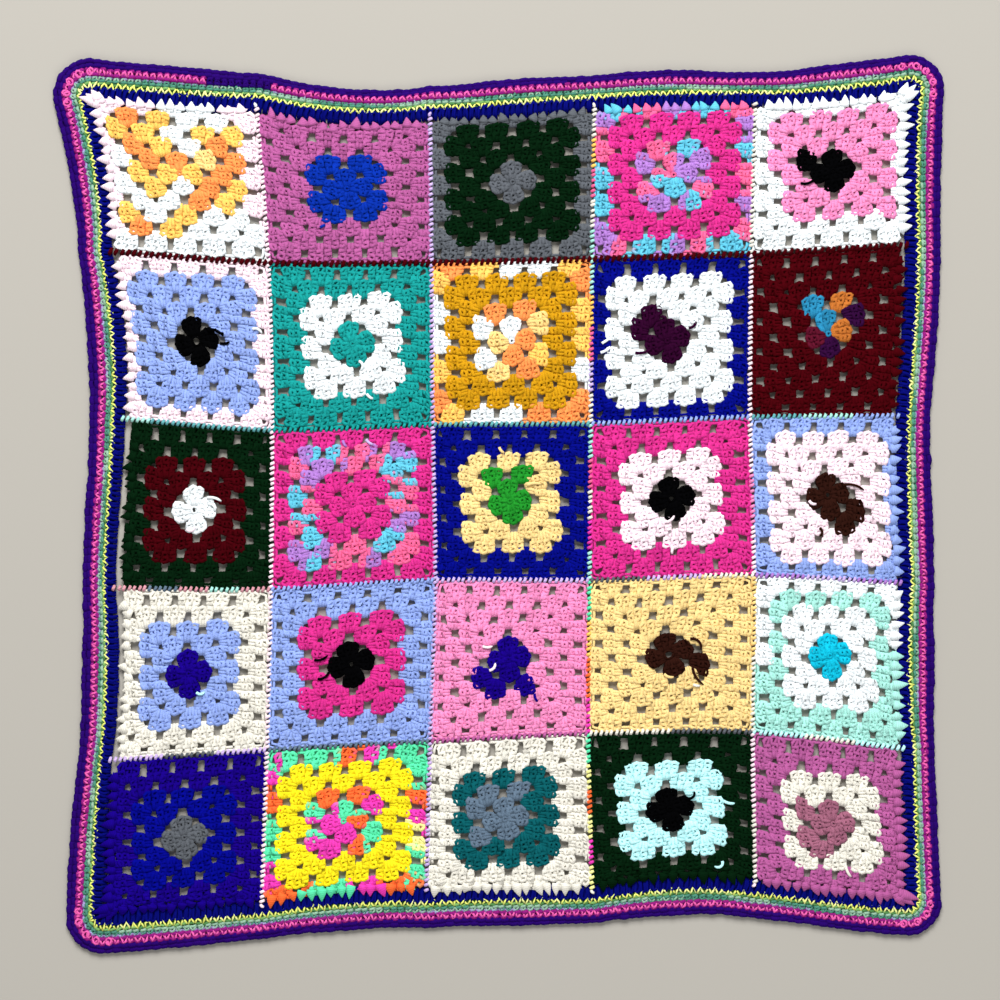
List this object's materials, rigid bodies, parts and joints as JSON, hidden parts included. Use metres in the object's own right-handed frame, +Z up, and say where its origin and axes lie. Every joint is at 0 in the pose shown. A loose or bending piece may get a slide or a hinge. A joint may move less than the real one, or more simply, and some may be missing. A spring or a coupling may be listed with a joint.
{
  "type": "crocheted blanket",
  "caption": "Square blanket of many-coloured crocheted granny squares sewn together inside a striped crocheted border, spread out flat.",
  "frame": {"origin": "middle of the blanket's outline, on the surface that it lies on", "axes": "+Z up out of the surface, +Y towards the edge with the white square at its left end, +X along that edge to the right as seen from above"},
  "size_m": [0.6938, 0.6996, 0.004],
  "materials": {
    "square_r1c1_yarn": "matt white acrylic yarn, crocheted",
    "square_r1c2_yarn": "matt mauve acrylic yarn, crocheted",
    "square_r1c3_yarn": "matt grey acrylic yarn, crocheted",
    "square_r1c4_yarn": "matt hot pink acrylic yarn, crocheted",
    "square_r1c5_yarn": "matt white acrylic yarn, crocheted",
    "square_r2c1_yarn": "matt blush acrylic yarn, crocheted",
    "square_r2c2_yarn": "matt teal acrylic yarn, crocheted",
    "square_r2c3_yarn": "matt variegated acrylic yarn, crocheted",
    "square_r2c4_yarn": "matt navy acrylic yarn, crocheted",
    "square_r2c5_yarn": "matt maroon acrylic yarn, crocheted",
    "square_r3c1_yarn": "matt dark green acrylic yarn, crocheted",
    "square_r3c2_yarn": "matt hot pink acrylic yarn, crocheted",
    "square_r3c3_yarn": "matt navy acrylic yarn, crocheted",
    "square_r3c4_yarn": "matt hot pink acrylic yarn, crocheted",
    "square_r3c5_yarn": "matt periwinkle acrylic yarn, crocheted",
    "square_r4c1_yarn": "matt cream acrylic yarn, crocheted",
    "square_r4c2_yarn": "matt periwinkle acrylic yarn, crocheted",
    "square_r4c3_yarn": "matt pink acrylic yarn, crocheted",
    "square_r4c4_yarn": "matt yellow acrylic yarn, crocheted",
    "square_r4c5_yarn": "matt mint acrylic yarn, crocheted",
    "square_r5c1_yarn": "matt violet acrylic yarn, crocheted",
    "square_r5c2_yarn": "matt variegated acrylic yarn, crocheted",
    "square_r5c3_yarn": "matt cream acrylic yarn, crocheted",
    "square_r5c4_yarn": "matt dark green acrylic yarn, crocheted",
    "square_r5c5_yarn": "matt mauve acrylic yarn, crocheted",
    "border_round_1_navy_yarn": "matt navy acrylic yarn, crocheted",
    "border_round_2_lime_yarn": "matt lime acrylic yarn, crocheted",
    "border_round_3_green_yarn": "matt green acrylic yarn, crocheted",
    "border_round_4_pink_yarn": "matt magenta acrylic yarn, crocheted",
    "border_round_5_violet_yarn": "matt violet acrylic yarn, crocheted"
  },
  "bodies": {
    "root": {"square_r1c1": "square_r1c1_yarn", "square_r1c2": "square_r1c2_yarn", "square_r1c3": "square_r1c3_yarn", "square_r1c4": "square_r1c4_yarn", "square_r1c5": "square_r1c5_yarn", "square_r2c1": "square_r2c1_yarn", "square_r2c2": "square_r2c2_yarn", "square_r2c3": "square_r2c3_yarn", "square_r2c4": "square_r2c4_yarn", "square_r2c5": "square_r2c5_yarn", "square_r3c1": "square_r3c1_yarn", "square_r3c2": "square_r3c2_yarn", "square_r3c3": "square_r3c3_yarn", "square_r3c4": "square_r3c4_yarn", "square_r3c5": "square_r3c5_yarn", "square_r4c1": "square_r4c1_yarn", "square_r4c2": "square_r4c2_yarn", "square_r4c3": "square_r4c3_yarn", "square_r4c4": "square_r4c4_yarn", "square_r4c5": "square_r4c5_yarn", "square_r5c1": "square_r5c1_yarn", "square_r5c2": "square_r5c2_yarn", "square_r5c3": "square_r5c3_yarn", "square_r5c4": "square_r5c4_yarn", "square_r5c5": "square_r5c5_yarn", "border_round_1_navy": "border_round_1_navy_yarn", "border_round_2_lime": "border_round_2_lime_yarn", "border_round_3_green": "border_round_3_green_yarn", "border_round_4_pink": "border_round_4_pink_yarn", "border_round_5_violet": "border_round_5_violet_yarn"}
  },
  "joints": []
}
